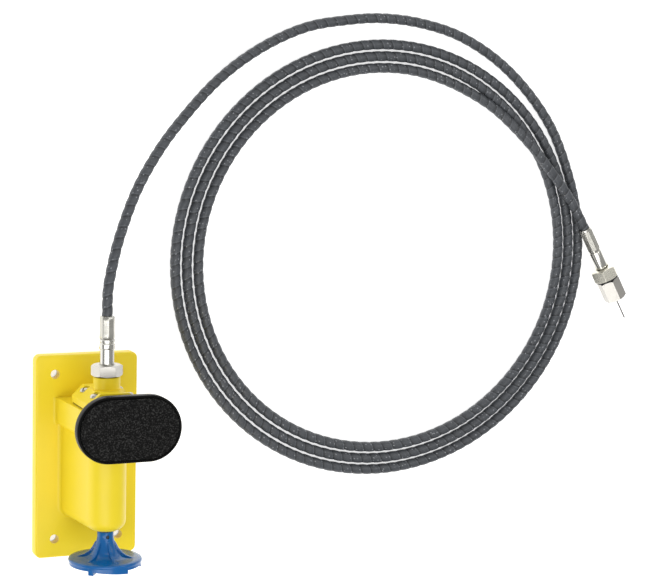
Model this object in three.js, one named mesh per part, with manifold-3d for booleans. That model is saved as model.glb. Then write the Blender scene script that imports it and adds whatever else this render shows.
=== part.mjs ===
// Foot valve: a pedal-operated actuator that pushes the core wire of a long flexible conduit.
// Units are millimetres. +Z points away from the mounting face, +Y towards the cable outlet.
// The origin is the middle of the mounting face. The cable lies on the plane of that face.
import * as THREE from 'three';
import { mergeVertices } from 'three/addons/utils/BufferGeometryUtils.js';
import Module from 'manifold-3d';

const wasm = await Module();
wasm.setup();

// Clearance between two pieces that only touch
const GAP = 0.3;
const FINE = 30;
const COARSE = 16;

// Housing: base plate, rounded lower body and wider upper block, moulded in one
const PLATE_WIDTH = 106;
const PLATE_LENGTH = 208;
const PLATE_THICK = 14;
const PLATE_CORNER = 6;
const HOLE_X = 33.4;
const HOLE_Y = 84.7;
const HOLE_RADIUS = 4.6;
const AXIS_Z = 80;
const NOSE_RADIUS = 20;
const BODY_HALF = 27;
const BODY_BOTTOM = -62.5;
const BODY_ROUND = 10;
const BLOCK_HALF = 32.5;
const BLOCK_FRONT_HALF = 27.5;
const BLOCK_BOTTOM = 36;
const BLOCK_TOP = 61.5;
const BLOCK_FRONT = 110;
const BLOCK_CORNER = 9;
const ROOT_Z = 3.5;
const WALL = 4;
const STEM_Y = 47;
const BOSS_RADIUS = 14;
const BOSS_FRONT = 118;
const RAIL_HALF = 2;
const RAIL_INNER = 7.4;

// Back plate, set into the rear of the housing
const BACK_WIDTH = 92;
const BACK_LENGTH = 194;
const BACK_THICK = 3;
const CORE_DEPTH = 10.5;
const CORE_INSET = 4;
const HOLE_BOSS = 8;
const BACK_SCREW_X = 38;
const BACK_SCREW_Y = 56;
const SCREW_BOSS = 5;
const PILOT_RADIUS = 1.9;

// Cable cover on top of the block
const COVER_HALF = 26;
const COVER_EAVE = 69.5;
const COVER_RIDGE_HALF = 15;
const COVER_TOP = 80;
const COVER_Z0 = 48;
const COVER_Z1 = 108;
const GASKET_THICK = 0.8;
const COVER_SCREW = 17.3;
const COVER_SEAT = 75;
const COVER_SCREW_HOLE = 2.3;
const SPIGOT_RADIUS = 13.3;
const SPIGOT_TOP = 92.6;
const SLOT_HALF = 13.5;
const SLOT_Z0 = 68;
const SLOT_Z1 = 92;

// Pedal
const PAD_WIDTH = 104;
const PAD_HEIGHT = 65;
const PAD_Y = 54;
const PAD_BACK = 146;
const PAD_FRONT = 158;
const RIM = 2.6;
const GRIP_THICK = 2.6;
const HUB_RADIUS = 14;
const HUB_BACK = 142;
const STEM_RADIUS = 7;
const STEM_END = 64.3;
const STOP_RING_Z = 100.3;
const PEDAL_SCREW_HOLE = 2.3;

// Pedal return spring, around the stem
const SPRING_RADIUS = 11.6;
const SPRING_WIRE = 2.2;
const SPRING_TURNS = 3.75;

// Rocker that turns the pedal's push into the wire's stroke
const PIVOT_Y = 10;
const PIVOT_Z = 44;
const PIVOT_RADIUS = 3;
const PIVOT_HALF = 18.6;
const PIVOT_BOSS = 6;
const ROCKER_HALF = 5;
const NOSE_Y = 47;
const NOSE_Z = 58;
const NOSE_TIP = 6;
const YOKE_PIN_Y = 3.4;
const YOKE_PIN_RADIUS = 2.5;
const FORK_HALF = 7.5;
const FORK_TOP = 85;

// Yoke that straddles the stem and carries the core wire
const YOKE_INNER = 8;
const YOKE_OUTER = 11;
const YOKE_HALF = 4.5;
const YOKE_END = -4;
const YOKE_HEAD = 59;
const YOKE_TOP = 64;
const WIRE_RADIUS = 0.8;

// Knob, spindle and the nut that travels on it
const SPINDLE_RADIUS = 4;
const SPINDLE_TOP = -10;
const COLLAR_RADIUS = 8;
const SPINDLE_BOTTOM = -84;
const PUSHER_BOTTOM = -38;
const PUSHER_TOP = -24;
const PUSHER_HALF = 10;
const NECK_RADIUS = 7.8;
const KNOB_TOP = -62.8;
const DISC_RADIUS = 36.5;
const DISC_TOP = -89.3;
const DISC_BOTTOM = -93.2;
const LOBE_BOTTOM = -97.8;
const LOBES = 6;
const LOBE_WIDTH = 9;
const LOBE_TURN = 55;
const GRUB_Y = -67.5;

// Cable: hex nut, ferrule and conduit
const NUT_ACROSS = 27;
const NUT_BOTTOM = 93;
const NUT_TOP = 104.4;
const NUT_TURN = 17;
const FERRULE_RADIUS = 7.1;
const FERRULE_BOTTOM = 86;
const COLLAR_Y0 = 120;
const COLLAR_Y1 = 129.6;
const FERRULE_TOP = 152.4;
const CONDUIT_RADIUS = 5.15;

// Coil of three turns, lying flat
const COIL_X = 331.5;
const COIL_Y = 190.5;
const COIL_OUTER = 235.2;
const COIL_INNER = 204;
const COIL_SQUASH = 0.981;

// Far end fitting
const END_AT = [568.6, 217.5, 15.8];
const END_HEADING = -151.3;
const END_CRIMP = 25.9;
const END_NUT_START = 47.6;
const END_NUT_STOP = 61;
const END_NUT_ACROSS = 26;
const END_NUT_TURN = 32;
const END_BODY_STOP = 87.4;
const END_BODY_ACROSS = 22;
const END_BODY_TURN = 5;
const END_WIRE_STOP = 112.8;
const END_WIRE_START = 44;

// Route of the uncoiled stretches of conduit, from the ferrule down to the coil and off it again
const LEAD_ROUTE = [
  [0, 152.7, 80], [0.6, 176.8, 79.6], [4.4, 196.6, 78], [13, 225.8, 73.5], [34.8, 273.5, 62],
  [63.5, 312.5, 46], [94.7, 344.3, 30], [131, 376.8, 16], [164, 400.5, 8.6], [201, 421.1, 5.4],
  [237.5, 435.3, 5.2], [275, 441.9, 5.2], [316.6, 445.2, 5.2], [364.4, 440.9, 5.2],
  [415.6, 426.2, 5.2], [472.1, 391.3, 5.2], [523.7, 334.3, 5.2],
];
const TAIL_ROUTE = [
  [505.5, 302.5, 16.2], [522.3, 282.9, 16.2], [538.7, 263.8, 16.2], [554.2, 242, 16], [567.2, 219.9, 15.8],
];
const LEAD_STEPS = 34;
const TAIL_STEPS = 6;

const metal = (color, roughness) => new THREE.MeshStandardMaterial({ color, roughness, metalness: 1 });
const plastic = (color, roughness) => new THREE.MeshStandardMaterial({ color, roughness, metalness: 0 });
const yellow = plastic(0xf2d21c, 0.35);
const blue = plastic(0x0f4f9c, 0.2);
const black = plastic(0x1c1c1a, 0.6);
const gloss = plastic(0x0c0c0c, 0.15);
const conduitGrey = plastic(0x4a4f55, 0.55);
const rubber = plastic(0x1e1e1e, 0.8);
const nickel = metal(0xc8c8c2, 0.25);
const steel = metal(0x9a9c9e, 0.4);
const bronze = metal(0xa8793a, 0.35);

const object = new THREE.Group();

// ---------- shape helpers ----------

function solid(geometry) {
  const bare = geometry.clone();
  bare.deleteAttribute('normal');
  bare.deleteAttribute('uv');
  const merged = mergeVertices(bare, 1e-4);
  const triangles = [];
  for (let i = 0; i < merged.index.count; i += 3) {
    const corners = [0, 1, 2].map((k) => merged.index.getX(i + k));
    if (new Set(corners).size === 3) triangles.push(...corners);
  }
  return new wasm.Manifold(new wasm.Mesh({
    numProp: 3,
    vertProperties: new Float32Array(merged.attributes.position.array),
    triVerts: new Uint32Array(triangles),
  }));
}

function shell(manifold) {
  const mesh = manifold.getMesh();
  const geometry = new THREE.BufferGeometry();
  geometry.setAttribute('position', new THREE.BufferAttribute(mesh.vertProperties, 3));
  geometry.setIndex(new THREE.BufferAttribute(mesh.triVerts, 1));
  geometry.computeVertexNormals();
  return geometry;
}

const join = (...shapes) => shell(shapes.map(solid).reduce((a, b) => a.add(b)));
const cut = (shape, ...tools) => shell(tools.map(solid).reduce((a, b) => a.subtract(b), solid(shape)));
const common = (a, b) => shell(solid(a).intersect(solid(b)));

// A round or many-sided bar between two points
function bar(radius, from, to, sides = COARSE, turn = 0) {
  const start = new THREE.Vector3(...from);
  const along = new THREE.Vector3(...to).sub(start);
  const length = along.length();
  const geometry = new THREE.CylinderGeometry(radius, radius, length, sides);
  geometry.rotateY(THREE.MathUtils.degToRad(turn));
  geometry.translate(0, length / 2, 0);
  const up = new THREE.Vector3(0, 1, 0);
  geometry.applyQuaternion(new THREE.Quaternion().setFromUnitVectors(up, along.normalize()));
  return geometry.translate(...from);
}

function block(low, high) {
  const size = low.map((value, i) => high[i] - value);
  const geometry = new THREE.BoxGeometry(...size);
  return geometry.translate(...low.map((value, i) => value + size[i] / 2));
}

// A turned shape about Y, from [radius, y] points
function turned(points, at = [0, 0, 0], sides = FINE) {
  const profile = points.map(([radius, y]) => new THREE.Vector2(radius, y));
  return new THREE.LatheGeometry(profile, sides).translate(...at);
}

// The same about Z, from [radius, z] points
function turnedAboutZ(points, at, sides = FINE) {
  return turned(points, [0, 0, 0], sides).rotateX(Math.PI / 2).translate(...at);
}

function tubeProfile(inner, outer, start, stop) {
  return [[inner, start], [outer, start], [outer, stop], [inner, stop], [inner, start]];
}

function roundedOutline(width, height, corner) {
  const x = width / 2 - corner;
  const y = height / 2 - corner;
  const shape = new THREE.Shape();
  shape.absarc(x, y, corner, 0, Math.PI / 2);
  shape.absarc(-x, y, corner, Math.PI / 2, Math.PI);
  shape.absarc(-x, -y, corner, Math.PI, Math.PI * 1.5);
  shape.absarc(x, -y, corner, Math.PI * 1.5, Math.PI * 2);
  return shape;
}

function slab(shape, z0, z1, curveSegments = 3) {
  const options = { depth: z1 - z0, bevelEnabled: false, curveSegments };
  return new THREE.ExtrudeGeometry(shape, options).translate(0, 0, z0);
}

// An [x, z] outline drawn out along Y, its ends rounded if asked
function alongY(shape, y0, y1, round = 0) {
  const options = {
    depth: y1 - y0 - 2 * round,
    bevelEnabled: round > 0,
    bevelThickness: round,
    bevelSize: round,
    bevelOffset: -round,
    bevelSegments: 3,
    curveSegments: 8,
  };
  return new THREE.ExtrudeGeometry(shape, options).rotateX(Math.PI / 2).translate(0, y1 - round, 0);
}

// A [y, z] outline drawn out along X
function alongX(shape, halfWidth, curveSegments = 10) {
  const options = { depth: 2 * halfWidth, bevelEnabled: false, curveSegments };
  const geometry = new THREE.ExtrudeGeometry(shape, options);
  return geometry.rotateX(Math.PI / 2).rotateZ(Math.PI / 2).translate(-halfWidth, 0, 0);
}

// Flat flanks that lean in to a round nose
function noseOutline(half, rootZ, radius) {
  const drop = rootZ - AXIS_Z;
  const tangent = Math.atan2(drop, half) + Math.acos(radius / Math.hypot(half, drop));
  const shape = new THREE.Shape();
  shape.moveTo(-half, rootZ);
  shape.lineTo(half, rootZ);
  shape.absarc(0, AXIS_Z, radius, tangent, Math.PI - tangent);
  return shape;
}

function blockOutline(half, frontHalf, rootZ, front, corner) {
  const shape = new THREE.Shape();
  shape.moveTo(half, rootZ);
  shape.lineTo(frontHalf, front - corner);
  shape.absarc(frontHalf - corner, front - corner, corner, 0, Math.PI / 2);
  shape.absarc(corner - frontHalf, front - corner, corner, Math.PI / 2, Math.PI);
  shape.lineTo(-half, rootZ);
  return shape;
}

function sweep(points, radius, sides, steps) {
  const outline = new THREE.Shape();
  for (let i = 0; i < sides; i += 1) {
    const angle = (i / sides) * Math.PI * 2;
    const corner = [radius * Math.cos(angle), radius * Math.sin(angle)];
    if (i === 0) outline.moveTo(...corner);
    else outline.lineTo(...corner);
  }
  const stations = points.map((point) => new THREE.Vector3(...point));
  const curve = new THREE.CatmullRomCurve3(stations, false, 'centripetal');
  return new THREE.ExtrudeGeometry(outline, { steps, extrudePath: curve });
}

function hexBar(across, start, stop, bore, turn) {
  const corner = across / Math.sqrt(3);
  const chamfer = corner - across / 2;
  const round = turned([
    [0, start], [across / 2, start], [corner, start + chamfer * 0.6],
    [corner, stop - chamfer * 0.6], [across / 2, stop], [0, stop],
  ]);
  const prism = bar(corner, [0, start, 0], [0, stop, 0], 6, turn);
  return cut(common(prism, round), bar(bore, [0, start - 1, 0], [0, stop + 1, 0], FINE));
}

function add(name, geometry, material, parent = object) {
  const mesh = new THREE.Mesh(geometry, material);
  mesh.name = name;
  parent.add(mesh);
  return mesh;
}

const fourCorners = (x, y) => [[-x, y], [x, y], [-x, -y], [x, -y]];
const backScrewPlaces = [...fourCorners(BACK_SCREW_X, BACK_SCREW_Y), [-BACK_SCREW_X, 0], [BACK_SCREW_X, 0]];
const coverScrewPlaces = fourCorners(COVER_SCREW, COVER_SCREW).map(([x, z]) => [x, AXIS_Z + z]);

// ---------- housing ----------

function rearPocket() {
  const recess = slab(roundedOutline(BACK_WIDTH + 2 * GAP, BACK_LENGTH + 2 * GAP, 3), -1, BACK_THICK + GAP);
  const width = BACK_WIDTH - 2 * CORE_INSET;
  const length = BACK_LENGTH - 2 * CORE_INSET;
  const core = slab(roundedOutline(width, length, 3), BACK_THICK, CORE_DEPTH);
  const bosses = [
    ...fourCorners(HOLE_X, HOLE_Y).map(([x, y]) => bar(HOLE_BOSS, [x, y, BACK_THICK - 1], [x, y, PLATE_THICK])),
    ...backScrewPlaces.map(([x, y]) => bar(SCREW_BOSS, [x, y, BACK_THICK - 1], [x, y, PLATE_THICK])),
  ];
  return join(recess, cut(core, ...bosses));
}

function makeHousing() {
  const outside = join(
    slab(roundedOutline(PLATE_WIDTH, PLATE_LENGTH, PLATE_CORNER), 0, PLATE_THICK, 5),
    alongY(noseOutline(BODY_HALF, ROOT_Z, NOSE_RADIUS), BODY_BOTTOM, BLOCK_BOTTOM + 15, BODY_ROUND),
    alongY(
      blockOutline(BLOCK_HALF, BLOCK_FRONT_HALF, ROOT_Z, BLOCK_FRONT, BLOCK_CORNER),
      BLOCK_BOTTOM,
      BLOCK_TOP,
    ),
    bar(BOSS_RADIUS, [0, STEM_Y, BLOCK_FRONT - 8], [0, STEM_Y, BOSS_FRONT], FINE),
  );
  const hollow = cut(
    outside,
    rearPocket(),
    alongY(noseOutline(BODY_HALF - WALL, 2, NOSE_RADIUS - WALL), BODY_BOTTOM + 5.5, BLOCK_BOTTOM + 12),
    alongY(
      blockOutline(BLOCK_HALF - WALL, BLOCK_FRONT_HALF - WALL, 2, BLOCK_FRONT - 4.5, 6),
      BLOCK_BOTTOM - 3,
      BLOCK_TOP - 3.5,
    ),
    block([-SLOT_HALF, BLOCK_TOP - 6, SLOT_Z0], [SLOT_HALF, BLOCK_TOP + 1, SLOT_Z1]),
  );
  const wallX = NOSE_RADIUS - WALL / 2;
  const inner = [
    ...coverScrewPlaces.map(([x, z]) => bar(SCREW_BOSS, [x, BLOCK_TOP - 14, z], [x, BLOCK_TOP - 1, z])),
    bar(PIVOT_BOSS, [ROCKER_HALF + 1, PIVOT_Y, PIVOT_Z], [NOSE_RADIUS + 2, PIVOT_Y, PIVOT_Z]),
    bar(PIVOT_BOSS, [-ROCKER_HALF - 1, PIVOT_Y, PIVOT_Z], [-NOSE_RADIUS - 2, PIVOT_Y, PIVOT_Z]),
    block([RAIL_INNER, PUSHER_BOTTOM - 7, AXIS_Z - RAIL_HALF], [wallX, -6, AXIS_Z + RAIL_HALF]),
    block([-wallX, PUSHER_BOTTOM - 7, AXIS_Z - RAIL_HALF], [-RAIL_INNER, -6, AXIS_Z + RAIL_HALF]),
  ];
  return cut(
    join(hollow, ...inner),
    ...fourCorners(HOLE_X, HOLE_Y).map(([x, y]) => bar(HOLE_RADIUS, [x, y, -1], [x, y, PLATE_THICK + 1])),
    ...backScrewPlaces.map(([x, y]) => bar(PILOT_RADIUS, [x, y, 0], [x, y, CORE_DEPTH + 1], 12)),
    ...coverScrewPlaces.map(([x, z]) => bar(PILOT_RADIUS, [x, BLOCK_TOP - 11, z], [x, BLOCK_TOP + 1, z], 12)),
    bar(10.3, [0, STEM_Y, 100], [0, STEM_Y, BOSS_FRONT + 1], FINE),
    bar(7.3, [0, BODY_BOTTOM - 1, AXIS_Z], [0, BODY_BOTTOM + 7, AXIS_Z], FINE),
    bar(PIVOT_RADIUS + GAP, [-19, PIVOT_Y, PIVOT_Z], [19, PIVOT_Y, PIVOT_Z]),
  );
}

// Countersunk screw, its head flush with the mounting face
function backScrew([x, y]) {
  const profile = [[0, 0.1], [3.8, 0.1], [1.6, 2.3], [1.6, CORE_DEPTH - 0.5], [0, CORE_DEPTH - 0.5]];
  const slot = block([x - 5, y - 0.5, -1], [x + 5, y + 0.5, 0.9]);
  return cut(turnedAboutZ(profile, [x, y, 0], COARSE), slot);
}

function makeBackPlate() {
  const sinks = backScrewPlaces.map(([x, y]) => turnedAboutZ(
    [[0, -1], [5.2, -1], [2, 2.2], [2, BACK_THICK + 1], [0, BACK_THICK + 1]],
    [x, y, 0],
    COARSE,
  ));
  const holes = fourCorners(HOLE_X, HOLE_Y).map(([x, y]) => (
    bar(HOLE_RADIUS + 0.2, [x, y, -1], [x, y, BACK_THICK + 1])
  ));
  return cut(slab(roundedOutline(BACK_WIDTH, BACK_LENGTH, 3), 0, BACK_THICK), ...sinks, ...holes);
}

add('housing', makeHousing(), yellow);
add('back_plate', makeBackPlate(), steel);
backScrewPlaces.forEach((place, i) => add(`back_screw_${i + 1}`, backScrew(place), steel));

// ---------- cable cover ----------

const coverBottom = BLOCK_TOP + GASKET_THICK + 2 * GAP;

function makeCover() {
  const roof = new THREE.Shape();
  roof.moveTo(COVER_HALF, coverBottom);
  roof.lineTo(COVER_HALF, COVER_EAVE);
  roof.lineTo(COVER_RIDGE_HALF, COVER_TOP);
  roof.lineTo(-COVER_RIDGE_HALF, COVER_TOP);
  roof.lineTo(-COVER_HALF, COVER_EAVE);
  roof.lineTo(-COVER_HALF, coverBottom);
  const raised = join(
    slab(roof, COVER_Z0, COVER_Z1),
    bar(SPIGOT_RADIUS, [0, COVER_TOP - 3, AXIS_Z], [0, SPIGOT_TOP, AXIS_Z], FINE),
  );
  return cut(
    raised,
    block([-SLOT_HALF, coverBottom - 1, SLOT_Z0], [SLOT_HALF, COVER_TOP - 2, SLOT_Z1]),
    bar(FERRULE_RADIUS + GAP, [0, COVER_TOP - 4, AXIS_Z], [0, SPIGOT_TOP + 1, AXIS_Z], FINE),
    ...coverScrewPlaces.map(([x, z]) => bar(5.4, [x, COVER_SEAT, z], [x, COVER_TOP + 5, z])),
    ...coverScrewPlaces.map(([x, z]) => bar(COVER_SCREW_HOLE, [x, coverBottom - 1, z], [x, COVER_TOP, z], 16)),
  );
}

function makeGasket() {
  const y0 = BLOCK_TOP + GAP;
  const y1 = y0 + GASKET_THICK;
  return cut(
    block([-COVER_HALF + 1, y0, COVER_Z0 + 1], [COVER_HALF - 1, y1, COVER_Z1 - 1]),
    block([-SLOT_HALF, y0 - 1, SLOT_Z0], [SLOT_HALF, y1 + 1, SLOT_Z1]),
    ...coverScrewPlaces.map(([x, z]) => bar(COVER_SCREW_HOLE, [x, y0 - 1, z], [x, y1 + 1, z], 16)),
  );
}

// Slotted pan-head screw
function coverScrew([x, z]) {
  const head = COVER_SEAT + 0.1;
  const profile = [
    [0, BLOCK_TOP - 9], [1.6, BLOCK_TOP - 9], [1.6, head], [4.6, head],
    [4.5, head + 1.8], [3.4, head + 3.2], [0, head + 3.7],
  ];
  const slot = block([-6, head + 1.9, -0.6], [6, head + 6, 0.6]).rotateY(x * z > 0 ? 0.9 : -0.5);
  return cut(turned(profile, [x, 0, z], COARSE), slot.translate(x, 0, z));
}

add('cable_cover', makeCover(), yellow);
add('cover_gasket', makeGasket(), rubber);
coverScrewPlaces.forEach((place, i) => add(`cover_screw_${i + 1}`, coverScrew(place), nickel));

// ---------- pedal ----------

function makeStem() {
  const profile = [
    [0, STEM_END], [STEM_RADIUS, STEM_END], [STEM_RADIUS, STOP_RING_Z], [6, STOP_RING_Z], [6, STOP_RING_Z + 2.1],
    [STEM_RADIUS, STOP_RING_Z + 2.1], [STEM_RADIUS, HUB_BACK - GAP], [4.5, HUB_BACK - GAP], [4.5, 150], [0, 150],
  ];
  return cut(turnedAboutZ(profile, [0, STEM_Y, 0]), bar(PEDAL_SCREW_HOLE, [0, STEM_Y, 137], [0, STEM_Y, 151]));
}

function makePedalPlate() {
  const outline = roundedOutline(PAD_WIDTH, PAD_HEIGHT, PAD_HEIGHT / 2 - 0.01);
  const recess = roundedOutline(PAD_WIDTH - 2 * RIM, PAD_HEIGHT - 2 * RIM, PAD_HEIGHT / 2 - RIM - 0.01);
  const plate = join(
    slab(outline, PAD_BACK, PAD_FRONT - 0.6, 10).translate(0, PAD_Y, 0),
    bar(HUB_RADIUS, [0, STEM_Y, HUB_BACK], [0, STEM_Y, PAD_BACK + 1], FINE),
  );
  return cut(
    plate,
    slab(recess, PAD_FRONT - GRIP_THICK - GAP, PAD_FRONT + 1, 10).translate(0, PAD_Y, 0),
    bar(4.8, [0, STEM_Y, HUB_BACK - 1], [0, STEM_Y, 150.3]),
    turnedAboutZ([[0, 149], [2.4, 149], [2.4, 151.6], [5.3, 154.4], [5.3, 158], [0, 158]], [0, STEM_Y, 0], COARSE),
  );
}

function makeGrip() {
  const inset = RIM + GAP;
  const outline = roundedOutline(PAD_WIDTH - 2 * inset, PAD_HEIGHT - 2 * inset, PAD_HEIGHT / 2 - inset - 0.01);
  return slab(outline, PAD_FRONT - GRIP_THICK, PAD_FRONT, 10).translate(0, PAD_Y, 0);
}

function makePedalScrew() {
  const profile = [[0, 139], [2, 139], [2, 151.9], [4.8, 154.6], [0, 154.6]];
  return turnedAboutZ(profile, [0, STEM_Y, 0], COARSE);
}

function makeSpring() {
  const bottom = BOSS_FRONT + GAP + SPRING_WIRE / 2;
  const top = HUB_BACK - GAP - SPRING_WIRE / 2;
  const points = [];
  const count = Math.round(SPRING_TURNS * 10);
  for (let i = 0; i <= count; i += 1) {
    const angle = (i / 10) * Math.PI * 2;
    const z = bottom + (top - bottom) * (i / count);
    points.push([SPRING_RADIUS * Math.cos(angle), STEM_Y + SPRING_RADIUS * Math.sin(angle), z]);
  }
  return sweep(points, SPRING_WIRE / 2 - 0.05, 6, count);
}

const ringAroundStem = (inner, outer, z0, z1) => (
  turnedAboutZ(tubeProfile(inner, outer, z0, z1), [0, STEM_Y, 0], FINE)
);

function makeGuideBush() {
  const profile = [
    [7.35, 102.6], [10.5, 102.6], [10.5, 105.1], [10, 105.1], [10, 116.8], [7.35, 116.8], [7.35, 102.6],
  ];
  return turnedAboutZ(profile, [0, STEM_Y, 0]);
}

add('guide_bush', makeGuideBush(), bronze);
add('stem_wiper', ringAroundStem(7.3, 10, 117.1, 119.6), rubber);
add('pedal_spring', makeSpring(), steel);
add('pedal_stem', makeStem(), nickel);
add('stem_stop_ring', ringAroundStem(6.3, 10, STOP_RING_Z + 0.2, STOP_RING_Z + 1.9), steel);
add('pedal_plate', makePedalPlate(), gloss);
add('pedal_grip', makeGrip(), black);
add('pedal_screw', makePedalScrew(), steel);

// ---------- rocker and yoke ----------

function makeRocker() {
  const arm = new THREE.Shape();
  arm.absarc(PIVOT_Y, PIVOT_Z, 9, Math.PI * 0.95, Math.PI * 1.6);
  arm.absarc(NOSE_Y, NOSE_Z, NOSE_TIP, Math.PI * 1.6, Math.PI * 2.6);
  arm.lineTo(PIVOT_Y + 10, PIVOT_Z + 10);
  arm.lineTo(YOKE_PIN_Y + FORK_HALF, AXIS_Z - 8);
  arm.lineTo(YOKE_PIN_Y + FORK_HALF, FORK_TOP);
  arm.lineTo(YOKE_PIN_Y - FORK_HALF, FORK_TOP);
  arm.lineTo(YOKE_PIN_Y - FORK_HALF, AXIS_Z - 10);
  const slot = YOKE_PIN_RADIUS + GAP;
  return cut(
    alongX(arm, ROCKER_HALF),
    block([-9, YOKE_PIN_Y - slot, AXIS_Z - 5], [9, YOKE_PIN_Y + slot, FORK_TOP + 1]),
    bar(PIVOT_RADIUS + GAP, [-9, PIVOT_Y, PIVOT_Z], [9, PIVOT_Y, PIVOT_Z], FINE),
  );
}

function makeYoke() {
  const z0 = AXIS_Z - YOKE_HALF;
  const z1 = AXIS_Z + YOKE_HALF;
  const frame = cut(
    block([-YOKE_OUTER, YOKE_END, z0], [YOKE_OUTER, YOKE_TOP, z1]),
    block([-YOKE_INNER, YOKE_END - 1, z0 - 1], [YOKE_INNER, YOKE_HEAD, z1 + 1]),
  );
  return cut(
    frame,
    bar(YOKE_PIN_RADIUS + GAP, [-14, YOKE_PIN_Y, AXIS_Z], [14, YOKE_PIN_Y, AXIS_Z]),
    bar(WIRE_RADIUS + 0.4, [0, YOKE_HEAD - 1, AXIS_Z], [0, YOKE_TOP + 1, AXIS_Z], 16),
  );
}

function makeCoreWire() {
  return join(
    bar(2.8, [0, 55.2, AXIS_Z], [0, YOKE_HEAD - GAP, AXIS_Z]),
    bar(WIRE_RADIUS, [0, 56, AXIS_Z], [0, 100, AXIS_Z], 16),
  );
}

const pivotEnds = [-PIVOT_HALF, PIVOT_HALF].map((x) => [x, PIVOT_Y, PIVOT_Z]);
add('rocker_pin', bar(PIVOT_RADIUS, ...pivotEnds, FINE), steel);
add('rocker', makeRocker(), steel);
add('yoke', makeYoke(), steel);
add('yoke_pin', bar(YOKE_PIN_RADIUS, [-10.8, YOKE_PIN_Y, AXIS_Z], [10.8, YOKE_PIN_Y, AXIS_Z]), steel);
add('core_wire', makeCoreWire(), steel);

// ---------- knob and spindle ----------

function makeSpindleBush() {
  const profile = [
    [4.3, BODY_BOTTOM + 0.2], [7, BODY_BOTTOM + 0.2], [7, BODY_BOTTOM + 5.8], [9.5, BODY_BOTTOM + 5.8],
    [9.5, BODY_BOTTOM + 8.2], [4.3, BODY_BOTTOM + 8.2], [4.3, BODY_BOTTOM + 0.2],
  ];
  return turned(profile, [0, 0, AXIS_Z]);
}

function makeSpindle() {
  const collar = BODY_BOTTOM + 8.5;
  const profile = [
    [0, SPINDLE_BOTTOM], [SPINDLE_RADIUS, SPINDLE_BOTTOM], [SPINDLE_RADIUS, collar], [COLLAR_RADIUS, collar],
    [COLLAR_RADIUS, collar + 3], [SPINDLE_RADIUS, collar + 3], [SPINDLE_RADIUS, SPINDLE_TOP - 1],
    [SPINDLE_RADIUS - 1, SPINDLE_TOP], [0, SPINDLE_TOP],
  ];
  return turned(profile, [0, 0, AXIS_Z], COARSE);
}

function makePusher() {
  const z0 = AXIS_Z - PUSHER_HALF;
  const z1 = AXIS_Z + PUSHER_HALF;
  const railGap = RAIL_HALF + GAP;
  const notches = [-1, 1].map((side) => {
    const edges = [side * (RAIL_INNER - 0.4), side * (PUSHER_HALF + 1)].sort((a, b) => a - b);
    return block([edges[0], PUSHER_BOTTOM - 1, AXIS_Z - railGap], [edges[1], PUSHER_TOP + 1, AXIS_Z + railGap]);
  });
  return cut(
    block([-PUSHER_HALF, PUSHER_BOTTOM, z0], [PUSHER_HALF, PUSHER_TOP, z1]),
    bar(SPINDLE_RADIUS + GAP, [0, PUSHER_BOTTOM - 1, AXIS_Z], [0, PUSHER_TOP + 1, AXIS_Z]),
    ...notches,
  );
}

function makeKnob() {
  const funnel = turned([
    [0, DISC_BOTTOM], [DISC_RADIUS - 1.2, DISC_BOTTOM], [DISC_RADIUS, DISC_BOTTOM + 1.2],
    [DISC_RADIUS, DISC_TOP - 1], [DISC_RADIUS - 1, DISC_TOP], [22, DISC_TOP + 0.8], [17, DISC_TOP + 3.6],
    [13.4, DISC_TOP + 7.4], [10.4, DISC_TOP + 12], [8.6, DISC_TOP + 16.6], [NECK_RADIUS, DISC_TOP + 20.5],
    [NECK_RADIUS, KNOB_TOP], [0, KNOB_TOP],
  ]);
  const rib = new THREE.Shape();
  rib.moveTo(NECK_RADIUS - 2, DISC_TOP - 1);
  rib.lineTo(31, DISC_TOP - 1);
  rib.quadraticCurveTo(15, DISC_TOP + 3, NECK_RADIUS - 2, DISC_TOP + 19);
  const pieces = [funnel];
  for (let i = 0; i < LOBES; i += 1) {
    const angle = -THREE.MathUtils.degToRad(LOBE_TURN + (i * 360) / LOBES);
    pieces.push(slab(rib, -1.6, 1.6, 4).rotateY(angle));
    const half = LOBE_WIDTH / 2;
    pieces.push(block([12, LOBE_BOTTOM, -half], [DISC_RADIUS - 1, DISC_BOTTOM + 1, half]).rotateY(angle));
  }
  pieces.push(bar(16, [0, LOBE_BOTTOM + 1.5, 0], [0, DISC_BOTTOM + 1, 0], FINE));
  const whole = join(...pieces).translate(0, 0, AXIS_Z);
  return cut(
    whole,
    bar(SPINDLE_RADIUS + GAP, [0, SPINDLE_BOTTOM - 0.5, AXIS_Z], [0, KNOB_TOP + 1, AXIS_Z]),
    bar(PILOT_RADIUS, [0, GRUB_Y, AXIS_Z + 2], [0, GRUB_Y, AXIS_Z + 10], 16),
  );
}

add('spindle_bush', makeSpindleBush(), bronze);
add('spindle', makeSpindle(), steel);
add('pusher_nut', makePusher(), bronze);
add('knob', makeKnob(), blue);
add('knob_grub_screw', bar(1.6, [0, GRUB_Y, AXIS_Z + 4.4], [0, GRUB_Y, AXIS_Z + 7.2], 16), steel);

// ---------- cable at the valve ----------

function makeFerrule() {
  const body = turned([
    [1.6, FERRULE_BOTTOM], [FERRULE_RADIUS, FERRULE_BOTTOM], [FERRULE_RADIUS, COLLAR_Y0], [7.6, COLLAR_Y0],
    [7.6, COLLAR_Y0 + 5.4], [7, COLLAR_Y0 + 5.9], [7, COLLAR_Y0 + 6.5], [7.6, COLLAR_Y0 + 7],
    [7.6, COLLAR_Y1], [5, COLLAR_Y1 + 1], [0, COLLAR_Y1 + 1], [0, COLLAR_Y0], [1.6, COLLAR_Y0],
    [1.6, FERRULE_BOTTOM],
  ]);
  const crimp = bar(7.4, [0, COLLAR_Y1 - 0.5, 0], [0, FERRULE_TOP, 0], 8, 20);
  return join(body, crimp).translate(0, 0, AXIS_Z);
}

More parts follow.
